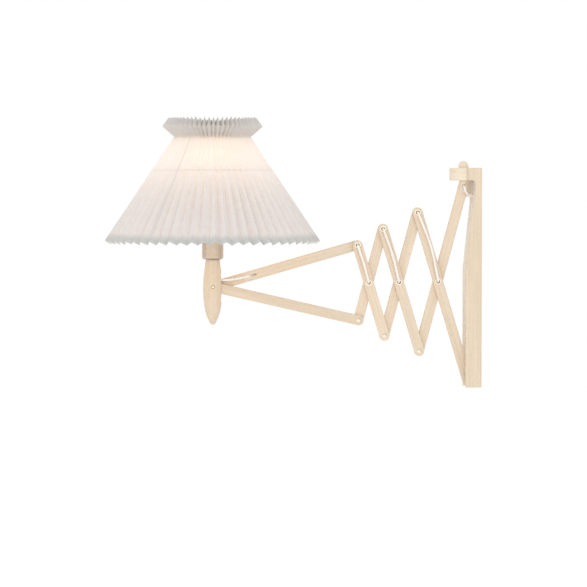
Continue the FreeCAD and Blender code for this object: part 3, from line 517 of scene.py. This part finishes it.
# the lead goes on from the arm's stretch in the same direction, and up through the grip's slot
LEAD_START = 0.7
head = pivots["head"]
lead_route = np.array([
    arm_route[-1], arm_route[-1] + LEAD_START * (arm_route[-1] - arm_route[-2]),
    [HEAD_X + 0.013, near_run + 0.0002, head[2] + 0.0138],
    [HEAD_X + 0.0005, HEAD_Y - 0.0004, head[2] + 0.023],
    [HEAD_X + 0.0002, HEAD_Y, head[2] + 0.040], [HEAD_X, HEAD_Y, 0.0505],
])
lead = spline_line("lead_route", lead_route)
part = int(np.argmin(np.linalg.norm(lead - lead_route[2], axis=1)))
outer_lead = round_tube("cord_lead_to_grip", lead[:part + 1], arm_up)
inner_lead = round_tube("cord_lead_in_grip", lead[part:], np.array([0.1, 1.0, 0.1]))
dress_cord(outer_lead, "cord_head_lead")
dress_cord(inner_lead, "cord_head_lead")
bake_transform(outer_lead)
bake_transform(inner_lead)


# ---------------------------------------------------------------- shade

PLEATS = 60
PANEL_WIDTH = 0.014
PAPER_THICKNESS = 0.0005
BULB_CENTRE_Z = 0.139
CARRIER_RING_Z = 0.2147
# ridge radius, ridge height, and how much higher the valley lies: base, neck, flare, rim
SHADE_LEVELS = np.array([
    [0.2148, 0.0755, -0.0065], [0.0766, 0.2820, 0.0], [0.1002, 0.3024, -0.002], [0.0880, 0.3195, -0.012],
])

# points across half a fold, and rows of points up the sheet; v is 0 at the base, 1 at the neck, 2 at the
# flare and 3 at the rim
HALF_FOLD = np.array([0, 0.03, 0.2, 0.4, 0.6, 0.8, 0.97])
HEM_TOP = 0.085
# how far below the hem's top its painted shade fades in
HEM_EDGE = 0.05
RING_BAND = 0.02
HEM_ROWS = 6
ROWS_BELOW_RING = 22
ROWS_AT_RING = 13
ROWS_ABOVE_RING = 12
COLLAR_ROWS = 7

# each tip of a fold stops short by this share of the fold's depth
TIP_EASE = 0.02
# folded by hand: how far a fold strays round the shade, and in radius and height; the stray in radius grows
# with the radius and is STRAY at STRAY_FULL_RADIUS, and the stray in height is less above halfway from neck
# to flare
STRAY_TURN = math.radians(0.14)
STRAY = 0.0004
STRAY_FULL_RADIUS = 0.2
HALFWAY_TO_FLARE = 1.5
COLLAR_STRAY = 0.6

# light on the outer skin: GLOW_STRENGTH times the glow; the cone's glow would be 1 on paper straight above
# the bulb, BULB_REACH from its centre; ridges get RIDGE_LIGHT of it, and valleys more towards the neck
GLOW_STRENGTH = 0.24
BULB_REACH = 0.18
RIDGE_LIGHT = 0.95
NECK_VALLEY_LIGHT = 0.12
VALLEY_GLOW = 0.14
# shadow of the carrier's ring: how high, how dark, and how much darker in the valleys
RING_SHADOW_HALF_HEIGHT = 0.0019
RING_SHADOW = 0.4
RING_SHADOW_IN_VALLEY = 0.16
# the collar: where it takes over from the cone, its glow, and how far its paper is painted darker as shade
COLLAR_START = 0.97
COLLAR_EASE = 0.08
COLLAR_GLOW = 0.15
COLLAR_VALLEY_LIGHT = 0.8
COLLAR_PAINTED_SHADE = 0.42
# light on the inner skin, and how much of it is lost in the collar
INNER_GLOW = 0.34
COLLAR_LOSS = 0.8
# the seam: its place round the shade, its half width as a share of half a fold, its painted shade where the
# paper lies double, and how it dims
SEAM_TURN = math.radians(-126)
SEAM_HALF_WIDTH = 0.22
SEAM_DOUBLED_AND_SHADED = 0.65
SEAM_DIMMED = 0.3


def shade_skin(inset_share):
    """One skin of the folded sheet as a function of height v and turn u.

    Ridge radius and height run straight between the shade's levels. A fold is a triangle wave round the
    shade, as deep as a panel of PANEL_WIDTH allows, and eased by TIP_EASE; each fold strays a little.
    Returned with the points are their turn, how deep in a valley they lie, and the v of each row.
    """
    ring = (CARRIER_RING_Z - SHADE_LEVELS[0, 1]) / (SHADE_LEVELS[1, 1] - SHADE_LEVELS[0, 1])
    v = np.concatenate([
        np.linspace(0, HEM_TOP, HEM_ROWS), np.linspace(HEM_TOP, ring - RING_BAND, ROWS_BELOW_RING)[1:],
        np.linspace(ring - RING_BAND, ring + RING_BAND, ROWS_AT_RING)[1:],
        np.linspace(ring + RING_BAND, 1, ROWS_ABOVE_RING)[1:],
        np.linspace(1, 2, COLLAR_ROWS)[1:], np.linspace(2, 3, COLLAR_ROWS)[1:],
    ])
    ridge = np.interp(v, range(4), SHADE_LEVELS[:, 0])[:, None]
    level = np.interp(v, range(4), SHADE_LEVELS[:, 1])[:, None]
    valley_rise = np.interp(v, range(4), SHADE_LEVELS[:, 2])[:, None]
    fold = np.concatenate([HALF_FOLD, 1 + HALF_FOLD])
    u = (np.arange(PLEATS)[:, None] * 2 + fold).ravel()
    deep = 1 - np.abs(1 - u % 2)
    eased = TIP_EASE + (1 - 2 * TIP_EASE) * deep
    stray = np.random.default_rng(11).normal(0, 1, (3, PLEATS * 2 + 1))
    stray[:, -1] = stray[:, 0]
    wander = [np.interp(u, np.arange(PLEATS * 2 + 1), row) for row in stray]
    half_pitch = math.pi * ridge / PLEATS
    depth = np.sqrt(PANEL_WIDTH ** 2 - half_pitch ** 2)
    inset = inset_share * PAPER_THICKNESS * PANEL_WIDTH / half_pitch
    turn = math.pi * u / PLEATS + STRAY_TURN * wander[0]
    radius = ridge - depth * eased - inset + STRAY * wander[1] * ridge / STRAY_FULL_RADIUS
    calmer = np.where(v[:, None] > HALFWAY_TO_FLARE, COLLAR_STRAY, 1)
    height = level + valley_rise * deep + STRAY * wander[2] * calmer
    points = np.stack([HEAD_X + radius * np.cos(turn), HEAD_Y + radius * np.sin(turn), height], -1)
    return points, np.broadcast_to(turn, height.shape), np.broadcast_to(deep, height.shape), v


def lamp_glow(points, normals_up, normals_out):
    """Light that the bulb throws on the cone: the cosine on the unfolded cone over the square of the
    distance, times the cube of one half plus half the cosine from the bulb's crown, which shines most."""
    out = np.hypot(points[..., 0] - HEAD_X, points[..., 1] - HEAD_Y)
    up = points[..., 2] - BULB_CENTRE_Z
    distance = np.hypot(out, up)
    facing = (normals_out * out + normals_up * up) / distance
    upwards = 0.5 + 0.5 * up / distance
    return np.clip(facing, 0, None) * upwards ** 3 / distance ** 2 * BULB_REACH ** 2


def pleated_shade():
    """The folded sheet as a closed thin solid: an outer and an inner skin joined at base and rim.

    The cone's glow is lower in the carrier ring's shadow, a bell curve of the height. The collar glows most
    beside the neck, and its valleys more than its ridges. The seam is a bell curve of the turn.
    """
    outer, turn, deep, v = shade_skin(0)
    inner = shade_skin(1)[0]
    rows, columns = outer.shape[:2]
    size = rows * columns
    faces = ring_faces(rows, columns)
    column = np.arange(columns)
    after = (column + 1) % columns
    base_edge = np.stack([column, column + size, after + size, after], -1)
    top = size - columns
    rim_edge = np.stack([top + column, top + after, top + after + size, top + column + size], -1)
    points = np.concatenate([outer.reshape(-1, 3), inner.reshape(-1, 3)])
    shade = piece("pleated_shade", points, [faces, faces[:, ::-1] + size, base_edge, rim_edge], smooth=False)

    rise = np.gradient(np.interp(v, range(4), SHADE_LEVELS[:, 1]))
    spread = np.gradient(np.interp(v, range(4), SHADE_LEVELS[:, 0]))
    slant = np.hypot(rise, spread)
    v = v[:, None]
    collar = np.clip((v - COLLAR_START) / COLLAR_EASE, 0, 1)
    ring_line = np.exp(-((outer[..., 2] - CARRIER_RING_Z) / RING_SHADOW_HALF_HEIGHT) ** 2)
    cone_glow = lamp_glow(outer, (-spread / slant)[:, None], (rise / slant)[:, None])
    cone_glow = cone_glow * (1 - (RING_SHADOW + RING_SHADOW_IN_VALLEY * deep) * ring_line)
    cone_glow = cone_glow * (RIDGE_LIGHT + NECK_VALLEY_LIGHT * deep * v) + VALLEY_GLOW * deep
    collar_glow = COLLAR_GLOW * (np.clip(2 - v, 0, 1) + COLLAR_VALLEY_LIGHT * deep)
    glow = (1 - collar) * cone_glow + collar * collar_glow

    seam_distance = np.abs((turn - SEAM_TURN + math.pi) % (2 * math.pi) - math.pi)
    seam = np.exp(-(seam_distance / (SEAM_HALF_WIDTH * math.pi / PLEATS)) ** 2) * (v < 1)
    # painted shade: the paper darkens towards the base edge, in full up to HEM_TOP less HEM_EDGE
    hem_shade = np.clip((HEM_TOP - v) / HEM_EDGE, 0, 1)
    # share of the darker paper: the seam, where the paper lies double, and the painted shade of seam, hem and
    # collar
    doubled_and_shaded = np.maximum(SEAM_DOUBLED_AND_SHADED * seam, np.maximum(hem_shade, COLLAR_PAINTED_SHADE * collar))
    outer_light = GLOW_STRENGTH * glow * (1 - SEAM_DIMMED * seam)
    inner_light = INNER_GLOW * (1 - COLLAR_LOSS * collar) * np.ones_like(glow)
    for name, outside, inside in (("glow", outer_light, inner_light), ("doubled_and_shaded", doubled_and_shaded, doubled_and_shaded)):
        layer = shade.data.attributes.new(name, "FLOAT", "POINT")
        layer.data.foreach_set("value", np.concatenate([outside.ravel(), inside.ravel()]).astype(np.float32))
    return shade


shade = pleated_shade()
shade.data.materials.append(pleated_paper("pleated_paper"))
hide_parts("shade")
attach(shade, "head")


# ---------------------------------------------------------------- room, light and camera

def room_white(name, base, lit):
    """Pale stage surface: plain under the lamps, lifted towards white for the camera and for reflections,
    and clear to a camera that stands below it."""
    material, tree, shader = finish(name, base, 0.9, specular_ior_level=0.0, emission_color=(1, 1, 1, 1))
    ray = add(tree, "LightPath").outputs
    seen = maths(tree, "MAXIMUM", ray["Is Camera Ray"], ray["Is Glossy Ray"])
    tree.links.new(maths(tree, "MULTIPLY", seen, lit), shader.inputs["Emission Strength"])
    behind = add(tree, "NewGeometry").outputs["Backfacing"]
    clear = maths(tree, "MULTIPLY", behind, ray["Is Camera Ray"])
    passing = add(tree, "BsdfTransparent").outputs[0]
    either = add(tree, "MixShader", {0: clear, 1: shader.outputs[0], 2: passing}).outputs[0]
    tree.links.new(either, tree.nodes["Material Output"].inputs["Surface"])
    return material


FLOOR_REACH = 9
FLOOR_Z = -1.1
floor_corners = np.array([[-1, -1], [1, -1], [1, 1], [-1, 1]]) * FLOOR_REACH
floor_points = np.column_stack([floor_corners, np.full(4, FLOOR_Z)])
floor = piece("floor", floor_points, [np.array([[0, 1, 2, 3]])], smooth=False)
floor.data.materials.append(room_white("floor_white", (0.88, 0.875, 0.865), 0.5))

# the world is white where it is seen and a little dimmer as a light
world = bpy.data.worlds.new("studio")
world.use_nodes = True
bpy.context.scene.world = world
sky = world.node_tree
sky.nodes.clear()
ray = add(sky, "LightPath").outputs
seen = maths(sky, "MAXIMUM", ray["Is Camera Ray"], ray["Is Glossy Ray"])
seen = maths(sky, "MAXIMUM", seen, ray["Is Transmission Ray"])
dim = add(sky, "Background", {"Color": (0.985, 0.99, 1.0, 1), "Strength": 0.9})
white = add(sky, "Background", {"Color": (1, 1, 1, 1), "Strength": 1.0})
blend = add(sky, "MixShader", {0: seen, 1: dim.outputs[0], 2: white.outputs[0]})
add(sky, "OutputWorld", {"Surface": blend.outputs[0]})


def pointed(name, data, place, aim):
    """A lamp or camera at a place, turned to its aim."""
    made = bpy.data.objects.new(name, data)
    made.location = place
    made.rotation_euler = (Vector(aim) - Vector(place)).to_track_quat("-Z", "Y").to_euler()
    bpy.context.scene.collection.objects.link(made)
    return made


def soft_lamp(name, place, aim, size, power):
    """Square area lamp at a place, turned to its aim."""
    lamp = bpy.data.lights.new(name, "AREA")
    lamp.shape = "SQUARE"
    lamp.size = size
    lamp.energy = power
    pointed(name, lamp, place, aim)


soft_lamp("key", (-0.8, -3.1, 0.6), (-0.35, 0, 0.02), 3.0, 16)
soft_lamp("fill", (1.0, -2.5, 0.0), (-0.3, 0, 0), 2.4, 6)
soft_lamp("side", (-3.2, -1.9, 0.0), (-0.2, 0, 0.05), 2.4, 11)

camera = bpy.data.cameras.new("camera")
camera.sensor_width = 36
camera.lens = 153.3
bpy.context.scene.camera = pointed("camera", camera, (-0.65, -5.0, 0.17), (-0.376, 0, -0.0315))
bpy.context.scene.view_settings.view_transform = "Standard"
